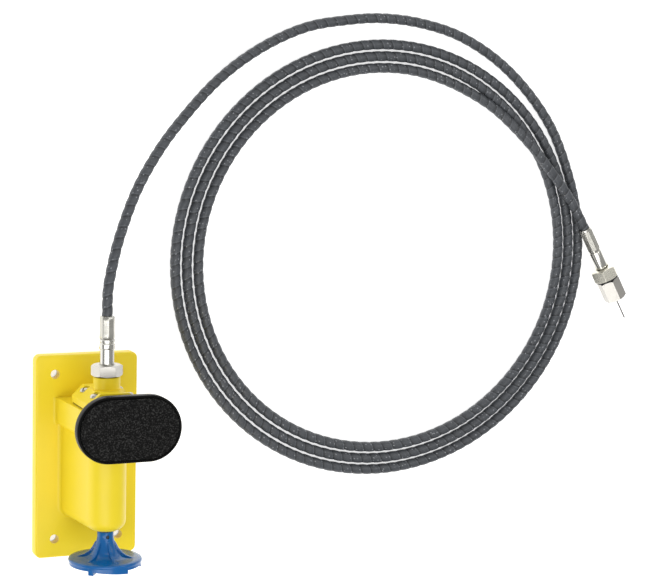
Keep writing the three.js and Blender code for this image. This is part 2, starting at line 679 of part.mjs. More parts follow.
function makeCableNut() {
  const bore = FERRULE_RADIUS + GAP;
  return hexBar(NUT_ACROSS, NUT_BOTTOM, NUT_TOP, bore, 30 - NUT_TURN).translate(0, 0, AXIS_Z);
}

function makeCoil() {
  const profile = [
    [COIL_INNER, 3.2], [COIL_INNER + 3.2, 0.1], [COIL_OUTER - 3.2, 0.1], [COIL_OUTER, 3.2],
    [COIL_OUTER, 7.2], [COIL_OUTER - 3.2, 10.3], [COIL_INNER + 3.2, 10.3], [COIL_INNER, 7.2], [COIL_INNER, 3.2],
  ];
  const ring = turned(profile, [0, 0, 0], 60).rotateX(Math.PI / 2);
  return ring.scale(1, COIL_SQUASH, 1).translate(COIL_X, COIL_Y, 0);
}

add('cable_nut', makeCableNut(), nickel);
add('cable_ferrule', makeFerrule(), nickel);
add('conduit_lead', sweep(LEAD_ROUTE, CONDUIT_RADIUS, 8, LEAD_STEPS), conduitGrey);
add('conduit_coil', makeCoil(), conduitGrey);
add('conduit_tail', sweep(TAIL_ROUTE, CONDUIT_RADIUS, 8, TAIL_STEPS), conduitGrey);

// ---------- far end fitting, drawn along its own Y ----------

const fitting = new THREE.Group();
fitting.position.set(...END_AT);
fitting.rotation.z = THREE.MathUtils.degToRad(END_HEADING);
object.add(fitting);

function makeEndFerrule() {
  return turned([
    [1.2, 40], [0, 40], [0, -2.2], [5.6, -2.2], [6.3, -1.5], [6.3, END_CRIMP - 0.8], [5.8, END_CRIMP - 0.3],
    [5.8, END_CRIMP + 0.3], [6.2, END_CRIMP + 0.8], [6.2, 56.5], [8.6, 56.5], [8.6, 59.5], [1.2, 59.5], [1.2, 40],
  ]);
}

function makeEndNut() {
  const hex = hexBar(END_NUT_ACROSS, END_NUT_START, END_NUT_STOP, 6.5, END_NUT_TURN);
  return cut(hex, bar(9, [0, 55.9, 0], [0, END_NUT_STOP + 1, 0], FINE));
}

function makeEndBody() {
  const start = END_NUT_STOP + 2.1;
  const hex = hexBar(END_BODY_ACROSS, start, END_BODY_STOP, 1.3, END_BODY_TURN);
  const spigot = turned(tubeProfile(1.3, 8.5, 59.9, start + 1));
  return join(hex, spigot);
}

add('end_ferrule', makeEndFerrule(), nickel, fitting);
add('end_nut', makeEndNut(), nickel, fitting);
add('end_seal', turned(tubeProfile(8.9, 12.6, END_NUT_STOP + 0.3, END_NUT_STOP + 1.8)), rubber, fitting);
add('end_body', makeEndBody(), nickel, fitting);
add('end_wire', bar(0.7, [0, END_WIRE_START, 0], [0, END_WIRE_STOP, 0], 12), steel, fitting);

export default object;
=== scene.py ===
"""Foot valve actuator with its coil of conduit, in metres: +Y runs to the cable outlet, +Z away from the mounting face."""
import math

import bmesh
import bpy
from mathutils import Matrix, Vector


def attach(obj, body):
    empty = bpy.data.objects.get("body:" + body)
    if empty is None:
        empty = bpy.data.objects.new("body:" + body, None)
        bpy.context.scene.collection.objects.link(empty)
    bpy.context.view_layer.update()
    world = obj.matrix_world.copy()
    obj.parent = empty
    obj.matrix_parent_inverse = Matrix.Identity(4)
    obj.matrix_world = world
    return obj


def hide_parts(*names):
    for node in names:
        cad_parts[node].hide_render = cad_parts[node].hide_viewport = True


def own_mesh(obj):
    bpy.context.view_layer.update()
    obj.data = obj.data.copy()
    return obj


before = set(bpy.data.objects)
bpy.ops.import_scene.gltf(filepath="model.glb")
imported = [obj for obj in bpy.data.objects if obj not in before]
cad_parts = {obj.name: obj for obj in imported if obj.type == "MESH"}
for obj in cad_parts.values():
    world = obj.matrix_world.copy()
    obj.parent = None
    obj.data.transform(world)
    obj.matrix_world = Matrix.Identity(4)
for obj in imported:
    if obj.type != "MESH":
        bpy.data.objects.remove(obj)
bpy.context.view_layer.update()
scene = bpy.context.scene

# Everything below is drawn in millimetres and brought to metres when its mesh is stored
MM = 0.001
AXIS_Z = 80.0
STEM_Y = 47.0
FITTING_AT = Vector((568.6, 217.5, 15.8))
FITTING_TURN = math.radians(-151.3)
FITTING = Matrix.Translation(FITTING_AT) @ Matrix.Rotation(FITTING_TURN, 4, "Z")
VALVE_AXIS = Matrix.Translation((0.0, 0.0, AXIS_Z))

# Camera: above and to the left of the mounting plate, looking slightly down its length
camera_data = bpy.data.cameras.new("camera")
camera_data.lens = 117.59
camera_data.clip_end = 20.0
camera = bpy.data.objects.new("camera", camera_data)
right, up, forward = (
    Vector((0.92092, 0.02257, 0.38910)),
    Vector((0.03218, 0.99051, -0.13363)),
    Vector((0.38843, -0.13558, -0.91145)),
)
camera.matrix_world = Matrix.Translation((-0.60873, 0.45934, 2.0492)) @ Matrix((right, up, -forward)).transposed().to_4x4()
scene.collection.objects.link(camera)
scene.camera = camera
scene.view_settings.view_transform = "Standard"


# ---------- materials ----------


def surface_group():
    """Shared finish: broad colour drift, patchy roughness and a fine bump, all on object coordinates."""
    group = bpy.data.node_groups.new("surface finish", "ShaderNodeTree")
    for label, kind, value in (
        ("Color", "NodeSocketColor", (0.5, 0.5, 0.5, 1.0)),
        ("Roughness", "NodeSocketFloat", 0.4),
        ("Drift", "NodeSocketFloat", 0.05),
        ("Patchiness", "NodeSocketFloat", 0.06),
        ("Grain", "NodeSocketFloat", 900.0),
        ("Bump", "NodeSocketFloat", 0.05),
        ("Streak X", "NodeSocketFloat", 1.0),
        ("Streak Y", "NodeSocketFloat", 1.0),
    ):
        group.interface.new_socket(label, in_out="INPUT", socket_type=kind).default_value = value
    group.interface.new_socket("Color", in_out="OUTPUT", socket_type="NodeSocketColor")
    group.interface.new_socket("Roughness", in_out="OUTPUT", socket_type="NodeSocketFloat")
    group.interface.new_socket("Normal", in_out="OUTPUT", socket_type="NodeSocketVector")
    nodes, link = group.nodes, group.links.new
    given, given_out = nodes.new("NodeGroupInput"), nodes.new("NodeGroupOutput")
    coords = nodes.new("ShaderNodeTexCoord").outputs["Object"]

    broad = nodes.new("ShaderNodeTexNoise")
    broad.inputs["Scale"].default_value = 24.0
    broad.inputs["Detail"].default_value = 4.0
    link(coords, broad.inputs["Vector"])
    centred = nodes.new("ShaderNodeMath")
    centred.operation = "SUBTRACT"
    centred.inputs[1].default_value = 0.5
    link(broad.outputs["Fac"], centred.inputs[0])
    drift = nodes.new("ShaderNodeMath")
    drift.operation = "MULTIPLY_ADD"
    drift.inputs[2].default_value = 1.0
    link(centred.outputs[0], drift.inputs[0])
    link(given.outputs["Drift"], drift.inputs[1])
    tint = nodes.new("ShaderNodeHueSaturation")
    link(drift.outputs[0], tint.inputs["Value"])
    link(given.outputs["Color"], tint.inputs["Color"])
    link(tint.outputs["Color"], given_out.inputs["Color"])

    stretch = nodes.new("ShaderNodeCombineXYZ")
    link(given.outputs["Streak X"], stretch.inputs["X"])
    link(given.outputs["Streak Y"], stretch.inputs["Y"])
    link(given.outputs["Streak X"], stretch.inputs["Z"])
    stretched = nodes.new("ShaderNodeVectorMath")
    stretched.operation = "MULTIPLY"
    link(coords, stretched.inputs[0])
    link(stretch.outputs[0], stretched.inputs[1])
    fine = nodes.new("ShaderNodeTexNoise")
    fine.inputs["Detail"].default_value = 3.0
    link(stretched.outputs[0], fine.inputs["Vector"])
    link(given.outputs["Grain"], fine.inputs["Scale"])
    patch = nodes.new("ShaderNodeMath")
    patch.operation = "ADD"
    link(broad.outputs["Fac"], patch.inputs[0])
    link(fine.outputs["Fac"], patch.inputs[1])
    patch_centred = nodes.new("ShaderNodeMath")
    patch_centred.operation = "SUBTRACT"
    patch_centred.inputs[1].default_value = 1.0
    link(patch.outputs[0], patch_centred.inputs[0])
    rough = nodes.new("ShaderNodeMath")
    rough.operation = "MULTIPLY_ADD"
    rough.use_clamp = True
    link(patch_centred.outputs[0], rough.inputs[0])
    link(given.outputs["Patchiness"], rough.inputs[1])
    link(given.outputs["Roughness"], rough.inputs[2])
    link(rough.outputs[0], given_out.inputs["Roughness"])

    bump = nodes.new("ShaderNodeBump")
    bump.inputs["Distance"].default_value = 0.0002
    link(given.outputs["Bump"], bump.inputs["Strength"])
    link(fine.outputs["Fac"], bump.inputs["Height"])
    link(bump.outputs["Normal"], given_out.inputs["Normal"])
    return group


FINISH = surface_group()


def material(name, color, roughness, metallic=0.0, coat=0.0, specular=0.5, **finish):
    """A principled surface whose colour, roughness and normal come through the shared finish."""
    made = bpy.data.materials.new(name)
    made.use_nodes = True
    nodes, link = made.node_tree.nodes, made.node_tree.links.new
    shader = nodes["Principled BSDF"]
    shader.inputs["Metallic"].default_value = metallic
    shader.inputs["Coat Weight"].default_value = coat
    shader.inputs["Specular IOR Level"].default_value = specular
    shader.inputs["Coat Roughness"].default_value = 0.08
    group = nodes.new("ShaderNodeGroup")
    group.node_tree = FINISH
    group.inputs["Color"].default_value = (*color, 1.0)
    group.inputs["Roughness"].default_value = roughness
    for label, value in finish.items():
        group.inputs[label.replace("_", " ").title()].default_value = value
    link(group.outputs["Color"], shader.inputs["Base Color"])
    link(group.outputs["Roughness"], shader.inputs["Roughness"])
    link(group.outputs["Normal"], shader.inputs["Normal"])
    return made


def grip_material():
    """Black rubber with a fine pebbled grain and painted sparkle: light grey specks mixed into its colour."""
    made = material("grip rubber", (0.003, 0.003, 0.0028), 0.62, specular=0.1, drift=0.25, patchiness=0.15, bump=0.1)
    nodes, link = made.node_tree.nodes, made.node_tree.links.new
    shader = nodes["Principled BSDF"]
    cells = nodes.new("ShaderNodeTexVoronoi")
    cells.inputs["Scale"].default_value = 850.0
    link(nodes.new("ShaderNodeTexCoord").outputs["Object"], cells.inputs["Vector"])
    pebble = nodes.new("ShaderNodeBump")
    pebble.invert = True
    pebble.inputs["Strength"].default_value = 0.9
    pebble.inputs["Distance"].default_value = 0.0006
    link(cells.outputs["Distance"], pebble.inputs["Height"])
    link(nodes["Group"].outputs["Normal"], pebble.inputs["Normal"])
    link(pebble.outputs["Normal"], shader.inputs["Normal"])
    # Painted sparkle: the colour turns light grey at the crests of a fine noise.
    sparkle_noise = nodes.new("ShaderNodeTexNoise")
    sparkle_noise.inputs["Scale"].default_value = 820.0
    sparkle_noise.inputs["Detail"].default_value = 2.0
    link(nodes["Texture Coordinate"].outputs["Object"], sparkle_noise.inputs["Vector"])
    crest = nodes.new("ShaderNodeMapRange")
    crest.inputs["From Min"].default_value = 0.5
    crest.inputs["From Max"].default_value = 0.68
    link(sparkle_noise.outputs["Fac"], crest.inputs["Value"])
    painted_sparkle = nodes.new("ShaderNodeMix")
    painted_sparkle.data_type = "RGBA"
    painted_sparkle.inputs[7].default_value = (0.045, 0.045, 0.043, 1.0)
    link(crest.outputs["Result"], painted_sparkle.inputs["Factor"])
    link(nodes["Group"].outputs["Color"], painted_sparkle.inputs[6])
    link(painted_sparkle.outputs[2], shader.inputs["Base Color"])
    return made


def conduit_material():
    """Charcoal sheath; its own UVs run one unit per wrap along it, so the painted shade at each seam, the painted
    highlight band beside it and the bright specks of painted glint follow the helix.
    """
    made = material("conduit", (0.06, 0.065, 0.073), 0.46, drift=0.35, patchiness=0.2, bump=0.25, grain=1500.0)
    nodes, link = made.node_tree.nodes, made.node_tree.links.new
    shader, group = nodes["Principled BSDF"], nodes["Group"]
    split = nodes.new("ShaderNodeSeparateXYZ")
    link(nodes.new("ShaderNodeTexCoord").outputs["UV"], split.inputs[0])
    turn = nodes.new("ShaderNodeMath")
    turn.operation = "SUBTRACT"
    link(split.outputs["X"], turn.inputs[0])
    link(split.outputs["Y"], turn.inputs[1])
    phase = nodes.new("ShaderNodeMath")
    phase.operation = "FRACT"
    link(turn.outputs[0], phase.inputs[0])
    # Painted light along each wrap: painted shade darkens the seam, a painted highlight band lies just past it, and the
    # crown of the wrap is painted lighter than its sides.
    wrap_shade_and_highlight = nodes.new("ShaderNodeValToRGB")
    points = wrap_shade_and_highlight.color_ramp.elements
    points[0].position, points[0].color = 0.0, (0.35, 0.35, 0.35, 1.0)
    points[1].position, points[1].color = 1.0, (0.35, 0.35, 0.35, 1.0)
    for place, value in ((0.06, 0.8), (0.12, 1.7), (0.2, 1.0), (0.5, 1.15), (0.88, 0.85)):
        points.new(place).color = (value, value, value, 1.0)
    link(phase.outputs[0], wrap_shade_and_highlight.inputs["Fac"])
    shade = nodes.new("ShaderNodeMix")
    shade.data_type, shade.blend_type = "RGBA", "MULTIPLY"
    shade.inputs["Factor"].default_value = 1.0
    link(group.outputs["Color"], shade.inputs[6])
    link(wrap_shade_and_highlight.outputs["Color"], shade.inputs[7])

    # Painted glints: small bright specks scattered along the wraps and mixed into the colour.
    grid = nodes.new("ShaderNodeCombineXYZ")
    around = nodes.new("ShaderNodeMath")
    around.operation = "MULTIPLY"
    around.inputs[1].default_value = 9.0
    link(split.outputs["Y"], around.inputs[0])
    along = nodes.new("ShaderNodeMath")
    along.operation = "MULTIPLY"
    along.inputs[1].default_value = 3.0
    link(turn.outputs[0], along.inputs[0])
    link(along.outputs[0], grid.inputs["X"])
    link(around.outputs[0], grid.inputs["Y"])
    dots = nodes.new("ShaderNodeTexVoronoi")
    dots.inputs["Scale"].default_value = 1.0
    dots.inputs["Randomness"].default_value = 0.7
    link(grid.outputs[0], dots.inputs["Vector"])
    glint_mask = nodes.new("ShaderNodeMapRange")
    glint_mask.inputs["From Min"].default_value = 0.25
    glint_mask.inputs["From Max"].default_value = 0.09
    link(dots.outputs["Distance"], glint_mask.inputs["Value"])
    painted_glints = nodes.new("ShaderNodeMix")
    painted_glints.data_type = "RGBA"
    painted_glints.inputs[7].default_value = (0.3, 0.31, 0.33, 1.0)
    link(glint_mask.outputs["Result"], painted_glints.inputs["Factor"])
    link(shade.outputs[2], painted_glints.inputs[6])
    link(painted_glints.outputs[2], shader.inputs["Base Color"])
    return made


YELLOW = material("yellow moulding", (0.93, 0.72, 0.026), 0.34, coat=0.0, specular=0.35, drift=0.08, patchiness=0.1, bump=0.03)
BLUE = material("blue moulding", (0.002, 0.115, 0.37), 0.2, coat=0.1, specular=0.4, drift=0.1, bump=0.02)
RIM_BLACK = material("black rim", (0.004, 0.004, 0.004), 0.26, specular=0.06, bump=0.02)
GRIP = grip_material()
CONDUIT = conduit_material()
SATIN = material("satin nickel", (0.56, 0.54, 0.5), 0.3, 1.0, drift=0.12, patchiness=0.2, bump=0.12, streak_y=9.0)
POLISHED = material("polished nickel", (0.62, 0.61, 0.565), 0.12, 1.0, drift=0.1, patchiness=0.12, streak_y=14.0)
BRUSHED = material("brushed nickel", (0.56, 0.55, 0.5), 0.3, 1.0, drift=0.2, patchiness=0.3, bump=0.4, streak_x=8.0)
CHROMATE = material("zinc with chromate", (0.95, 0.92, 0.8), 0.28, 1.0, drift=0.15, patchiness=0.2, bump=0.03)
STEEL = material("zinc plated steel", (0.5, 0.51, 0.52), 0.36, 1.0, drift=0.15, patchiness=0.2, bump=0.15)
BLACKED = material("blacked steel", (0.05, 0.06, 0.08), 0.45, 0.7, drift=0.15, bump=0.1)
SPRING_STEEL = material("spring steel", (0.13, 0.12, 0.105), 0.4, 1.0, drift=0.15, bump=0.1)
BRONZE = material("bearing bronze", (0.5, 0.3, 0.11), 0.34, 1.0, drift=0.2, patchiness=0.2, bump=0.1)
RUBBER = material("seal rubber", (0.012, 0.012, 0.012), 0.6, drift=0.2, patchiness=0.1, bump=0.2)


# ---------- mesh helpers, all in millimetres ----------


def loft(bm, rings, closed_ends=True):
    """Skins outlines with equal numbers of corners, first to last; each ring runs anticlockwise seen from the last one."""
    rows = [[bm.verts.new(point) for point in ring] for ring in rings]
    count = len(rows[0])
    for low, high in zip(rows, rows[1:]):
        for i in range(count):
            j = (i + 1) % count
            bm.faces.new((low[i], low[j], high[j], high[i]))
    if closed_ends:
        bm.faces.new(list(reversed(rows[0])))
        bm.faces.new(rows[-1])


def lathe(bm, profile, sides=72):
    """Turns an [radius, y] profile about Y; both its ends are on the axis, or it closes on itself."""
    ring_shaped = profile[0] == profile[-1]
    rows = []
    for radius, y in profile[:-1] if ring_shaped else profile:
        if radius < 1e-6:
            rows.append([bm.verts.new((0.0, y, 0.0))])
            continue
        angles = (math.tau * i / sides for i in range(sides))
        rows.append([bm.verts.new((radius * math.sin(a), y, radius * math.cos(a))) for a in angles])
    pairs = list(zip(rows, rows[1:])) + ([(rows[-1], rows[0])] if ring_shaped else [])
    for low, high in pairs:
        for i in range(sides):
            j = (i + 1) % sides
            if len(low) == 1 and len(high) == 1:
                continue
            if len(low) == 1:
                bm.faces.new((low[0], high[j], high[i]))
            elif len(high) == 1:
                bm.faces.new((low[i], low[j], high[0]))
            else:
                bm.faces.new((low[i], low[j], high[j], high[i]))


def box(bm, low, high):
    made = bmesh.ops.create_cube(bm, size=1.0)["verts"]
    size = [b - a for a, b in zip(low, high)]
    middle = [(a + b) / 2 for a, b in zip(low, high)]
    bmesh.ops.scale(bm, vec=size, verts=made)
    bmesh.ops.translate(bm, vec=middle, verts=made)
    return made


def cylinder(bm, radius, start, end, sides=64):
    start, end = Vector(start), Vector(end)
    along = end - start
    place = Matrix.Translation((start + end) / 2) @ along.to_track_quat("Z", "Y").to_matrix().to_4x4()
    bmesh.ops.create_cone(
        bm, cap_ends=True, segments=sides, radius1=radius, radius2=radius, depth=along.length, matrix=place
    )


def arc(cx, cy, radius, start, stop, steps):
    turns = (math.radians(start + (stop - start) * i / steps) for i in range(steps + 1))
    return [(cx + radius * math.cos(t), cy + radius * math.sin(t)) for t in turns]


def plate_outline(width, height, corner, steps=10):
    x, y = width / 2 - corner, height / 2 - corner
    points = []
    for cx, cy, start in ((x, y, 0), (-x, y, 90), (-x, -y, 180), (x, -y, 270)):
        points += arc(cx, cy, corner, start, start + 90, steps)
    return points


def smooth_shade(mesh, degrees=32.0):
    mesh.shade_smooth()
    mesh.set_sharp_from_angle(angle=math.radians(degrees))


def store(name, bm, finish, nodes=(), body="base", place=None, bevel=0.0, cutters=(), meet=None, shade=32.0):
    """Turns a millimetre bmesh into a finished piece: cut, brought to the row frame, bevelled, and tied to its body."""
    bmesh.ops.recalc_face_normals(bm, faces=bm.faces)
    name = f"finished_{name}" if name in nodes else name
    mesh = bpy.data.meshes.new(name)
    bm.to_mesh(mesh)
    bm.free()
    piece = bpy.data.objects.new(name, mesh)
    scene.collection.objects.link(piece)
    tools = []
    for operation, shapes in (("INTERSECT", [meet] if meet else []), ("DIFFERENCE", cutters)):
        for shape in shapes:
            bmesh.ops.recalc_face_normals(shape, faces=shape.faces)
            tool_mesh = bpy.data.meshes.new("tool")
            shape.to_mesh(tool_mesh)
            shape.free()
            tool = bpy.data.objects.new("tool", tool_mesh)
            scene.collection.objects.link(tool)
            step = piece.modifiers.new("cut", "BOOLEAN")
            step.operation, step.solver, step.object = operation, "EXACT", tool
            tools.append(tool)
    if tools:
        graph = bpy.context.evaluated_depsgraph_get()
        piece.data = bpy.data.meshes.new_from_object(piece.evaluated_get(graph))
        piece.modifiers.clear()
        for tool in tools:
            tool_mesh = tool.data
            bpy.data.objects.remove(tool)
            bpy.data.meshes.remove(tool_mesh)
        bpy.data.meshes.remove(mesh)
        piece.data.name = name
    piece.data.transform(Matrix.Scale(MM, 4) @ (place or Matrix.Identity(4)))
    if bevel:
        edge = piece.modifiers.new("edges", "BEVEL")
        edge.width, edge.segments, edge.limit_method = bevel * MM, 3, "ANGLE"
        edge.angle_limit, edge.harden_normals = math.radians(35), True
        edge.miter_outer = "MITER_ARC"
    smooth_shade(piece.data, shade)
    piece.data.materials.clear()
    piece.data.materials.append(finish)
    if nodes:
        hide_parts(*nodes)
    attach(piece, body)
    return piece


def tool_of(build, *args, **kwargs):
    shape = bmesh.new()
    build(shape, *args, **kwargs)
    return shape


# ---------- conduit ----------
# One cord from the ferrule, down to the floor, three turns inward and up over them to the far fitting.
# Its sheath is a close helical wrap: each wrap swells, then dips at a narrow seam.

CONDUIT_RADIUS = 5.15
WRAP_PITCH = 11.4
LEAD_ROUTE = [
    (0, 152.7, 80), (0.6, 176.8, 79.6), (4.4, 196.6, 78), (13, 225.8, 73.5), (34.8, 273.5, 62),
    (63.5, 312.5, 46), (94.7, 344.3, 30), (131, 376.8, 16), (164, 400.5, 8.6), (201, 421.1, 5.4),
    (237.5, 435.3, 5.3), (275, 441.9, 5.3), (316.6, 445.2, 5.3), (364.4, 440.9, 5.3),
    (415.6, 426.2, 5.3), (472.1, 391.3, 5.3), (523.7, 334.3, 5.3),
]
TAIL_ROUTE = [
    (424.4, 368.9, 5.3), (452.5, 353, 6.6), (478, 331, 12), (505.5, 302.5, 16.2),
    (522.3, 282.9, 16.3), (538.7, 263.8, 16.3), (554.2, 242, 16), (567.2, 219.9, 15.8),
]


def coil_point(turned):
    """The inward spiral, after that many degrees of clockwise turn."""
    angle = math.radians(20.0 - turned)
    radius = 239.06 - 12.54 * turned / 360.0
    return (327.06 + radius * math.cos(angle), 193.4 + 0.9813 * radius * math.sin(angle), 5.3)


def smooth_route(points, step):
    """A centripetal curve through the points, then evenly spaced along itself."""
    knots = [Vector(p) for p in points]
    knots = [2 * knots[0] - knots[1], *knots, 2 * knots[-1] - knots[-2]]
    dense = []
    for a, b, c, d in zip(knots, knots[1:], knots[2:], knots[3:]):
        t1 = (b - a).length ** 0.5
        t2 = t1 + (c - b).length ** 0.5
        t3 = t2 + (d - c).length ** 0.5
        for i in range(12):
            t = t1 + (t2 - t1) * i / 12
            ab = a.lerp(b, t / t1)
            bc = b.lerp(c, (t - t1) / (t2 - t1))
            cd = c.lerp(d, (t - t2) / (t3 - t2))
            dense.append(ab.lerp(bc, t / t2).lerp(bc.lerp(cd, (t - t1) / (t3 - t1)), (t - t1) / (t2 - t1)))
    dense.append(knots[-2])
    even, walked, target = [dense[0]], 0.0, step
    for a, b in zip(dense, dense[1:]):
        length = (b - a).length
        while length > 0 and walked + length >= target:
            even.append(a.lerp(b, (target - walked) / length))
            target += step
        walked += length
    even.append(dense[-1])
    return even


route = smooth_route(LEAD_ROUTE + [coil_point(t) for t in range(0, 1031, 10)] + TAIL_ROUTE, 1.35)


def conduit_mesh(bm, centres, sides=18):
    uv = bm.loops.layers.uv.new("wrap")
    side = Vector((1, 0, 0))
    rows, lengths, walked = [], [], 0.0
    for k, centre in enumerate(centres):
        ahead = centres[min(k + 1, len(centres) - 1)]
        behind = centres[max(k - 1, 0)]
        tangent = (ahead - behind).normalized()
        side = (side - side.dot(tangent) * tangent).normalized()
        other = tangent.cross(side)
        if k:
            walked += (centre - centres[k - 1]).length
        row = []
        for i in range(sides):
            v = i / sides
            phase = (walked / WRAP_PITCH - v) % 1.0
            swell = math.sin(math.pi * min(1.0, phase / 0.94)) ** 0.6 if phase < 0.94 else 0.0
            ripple = 0.05 * math.sin(math.tau * 5 * phase)
            radius = CONDUIT_RADIUS - 0.34 + 0.6 * swell + ripple
            angle = math.tau * v
            row.append(bm.verts.new(centre + radius * (math.cos(angle) * side + math.sin(angle) * other)))
        rows.append(row)
        lengths.append(walked / WRAP_PITCH)
    for k, (low, high) in enumerate(zip(rows, rows[1:])):
        for i in range(sides):
            j = (i + 1) % sides
            face = bm.faces.new((low[i], low[j], high[j], high[i]))
            corners = ((k, i), (k, i + 1), (k + 1, i + 1), (k + 1, i))
            for loop, (at, around) in zip(face.loops, corners):
                loop[uv].uv = (lengths[at], around / sides)
    bm.faces.new(list(reversed(rows[0])))
    bm.faces.new(rows[-1])
    return walked


bm = bmesh.new()
conduit_length = conduit_mesh(bm, route)
conduit = store(
    "conduit", bm, CONDUIT, ("conduit_lead", "conduit_coil", "conduit_tail"), shade=60.0
)

# ---------- far end fitting ----------
# Crimped and polished ferrule, union nut, black seal and the hex body with the bare wire's end, on their own axis.

bm = bmesh.new()
lathe(bm, [
    (0, -2.2), (5.9, -2.2), (6.5, -1.6), (6.6, -0.4), (6.45, 12), (6.6, 24.2), (6.5, 25.6), (5.7, 25.9),
    (5.7, 26.6), (6.6, 26.9), (6.8, 27.6), (6.8, 46.6), (6.3, 47.2), (6.2, 56.4), (8.5, 56.5), (8.5, 59.5),
    (1.2, 59.5), (1.2, 40), (0, 40),
])
end_ferrule = store("end_ferrule", bm, POLISHED, ("end_ferrule",), place=FITTING)

bm = bmesh.new()
for k in range(8):
    made = box(bm, (-2.45, 0.2, -0.2), (2.45, 23.8, 0.22))
    turn = Matrix.Rotation(math.tau * (k + 0.5) / 8, 4, "Y") @ Matrix.Translation((0, 0, 6.42))
    bmesh.ops.transform(bm, matrix=turn, verts=made)
crimp_flats = store("end_crimp_flats", bm, BRUSHED, place=FITTING, bevel=0.15)


def hexagon(bm, across, start, stop, turn):
    corner = across / math.sqrt(3)
    points = [(corner * math.sin(math.radians(turn + 60 * i)), corner * math.cos(math.radians(turn + 60 * i))) for i in range(6)]
    loft(bm, [[(x, y, z) for x, z in points] for y in (start, stop)])


def hex_envelope(across, start, stop):
    corner = across / math.sqrt(3) + 0.02
    drop = (corner - across / 2) * 0.62
    flat = across / 2 - 0.3
    return tool_of(lathe, [
        (0, start), (flat, start), (corner, start + drop), (corner, stop - drop), (flat, stop), (0, stop),
    ], 96)


bm = bmesh.new()
hexagon(bm, 26, 47.6, 61, 32)
end_nut = store(
    "end_nut", bm, CHROMATE, ("end_nut",), "end_nut", FITTING, 0.25,
    meet=hex_envelope(26, 47.6, 61),
    cutters=[tool_of(cylinder, 7.1, (0, 40, 0), (0, 70, 0)), tool_of(cylinder, 9, (0, 55.9, 0), (0, 70, 0))],
)

bm = bmesh.new()
lathe(bm, [(8.9, 61.3), (12.0, 61.3), (12.6, 61.6), (12.6, 62.5), (12.0, 62.8), (8.9, 62.8), (8.9, 61.3)])
end_seal = store("end_seal", bm, RUBBER, ("end_seal",), place=FITTING)

bm = bmesh.new()
hexagon(bm, 22, 63.1, 87.4, 5)
end_body = store(
    "end_body", bm, SATIN, ("end_body",), place=FITTING, bevel=0.25,
    meet=hex_envelope(22, 63.1, 87.4), cutters=[tool_of(cylinder, 1.3, (0, 50, 0), (0, 95, 0), 24)],
)

bm = bmesh.new()
cylinder(bm, 0.7, (0, 44, 0), (0, 112.8, 0), 16)
end_wire = store("end_wire", bm, SPRING_STEEL, ("end_wire",), "end_core", FITTING)

# ---------- housing ----------
# Base plate, lower body with its round nose and the upper block are one hollow moulding, soft at every edge.

HOLES = [(x, y) for x in (-33.4, 33.4) for y in (-84.7, 84.7)]
SCREWS = [(x, AXIS_Z + z) for z in (17.3, -17.3) for x in (-17.3, 17.3)]
BACK_SCREWS = [(-38, 56), (38, 56), (-38, -56), (38, -56), (-38, 0), (38, 0)]
ROUND_STEPS = 6


def root_fillet(half, root, fillet):
    """The right-hand foot of an outline, swept out into the plate's face; the left is its mirror image."""
    foot = arc(half + fillet, 14 + fillet, fillet, 270, 184, 8)
    return [(half + fillet, root)] + foot if fillet else [(half, root)]


def mirrored(points):
    return [(-x, z) for x, z in reversed(points)]


def nose_outline(half, root, radius, steps=36, fillet=0.0):
    drop = root - AXIS_Z
    tangent = math.degrees(math.atan2(drop, half) + math.acos(radius / math.hypot(half, drop)))
    foot = root_fillet(half, root, fillet)
    return mirrored(foot)[-1:] + foot + arc(0, AXIS_Z, radius, tangent, 180 - tangent, steps) + mirrored(foot)[:-1]


def block_outline(half, front_half, root, front, corner, steps=14, fillet=0.0):
    right_side = arc(front_half - corner, front - corner, corner, 0, 90, steps)
    left_side = arc(corner - front_half, front - corner, corner, 90, 180, steps)
    foot = root_fillet(half, root, fillet)
    return mirrored(foot)[-1:] + foot + right_side + left_side + mirrored(foot)[:-1]


def along_y(bm, outline, y0, y1, low_round=0.0, high_round=0.0):
    """Draws an outline function of inset out along Y, rounding either end."""
    rings = [[(x, y0 + low_round - depth_in, z) for x, z in outline(inset)] for inset, depth_in in ends(low_round)]
    rings += [[(x, y1 - high_round + depth_in, z) for x, z in outline(inset)] for inset, depth_in in reversed(ends(high_round))]
    loft(bm, [list(reversed(ring)) for ring in rings])


def ends(radius):
    """Inset and reach of each ring of a rounded end, from its tip to its full section."""
    if not radius:
        return [(0.0, 0.0)]
    steps = [math.pi / 2 * i / ROUND_STEPS for i in range(ROUND_STEPS + 1)]
    return [(radius * (1 - math.sin(t)), radius * math.cos(t)) for t in steps]


def plate(bm):
    rings = []
    for inset, reach in ends(2.4):
        rings.append((inset, 14 - 2.4 + reach))
    rings = [(0.8, 0.0), (0.0, 0.8)] + list(reversed(rings))
    loft(bm, [[(x, y, z) for x, y in plate_outline(106 - 2 * i, 208 - 2 * i, 6.2 - i)] for i, z in rings])


def body_outline(inset):
    return nose_outline(27 - inset, 6, 20 - inset, fillet=4.0)


def block_section(inset):
    return block_outline(32.5 - inset, 27.5 - inset, 6, 110 - inset, 9 - inset * 0.9, fillet=3.0)


def slab_tool(width, height, corner, z0, z1):
    return tool_of(loft, [[(x, y, z) for x, y in plate_outline(width, height, corner)] for z in (z0, z1)])


def y_tool(outline, y0, y1):
    shape = bmesh.new()
    along_y(shape, lambda inset: outline, y0, y1)
    return shape


def plate_pocket():
    """The hollow behind the plate, kept narrow so that solid plate stays round the holes and screws."""
    return slab_tool(44, 186, 3, 3, 10.5)


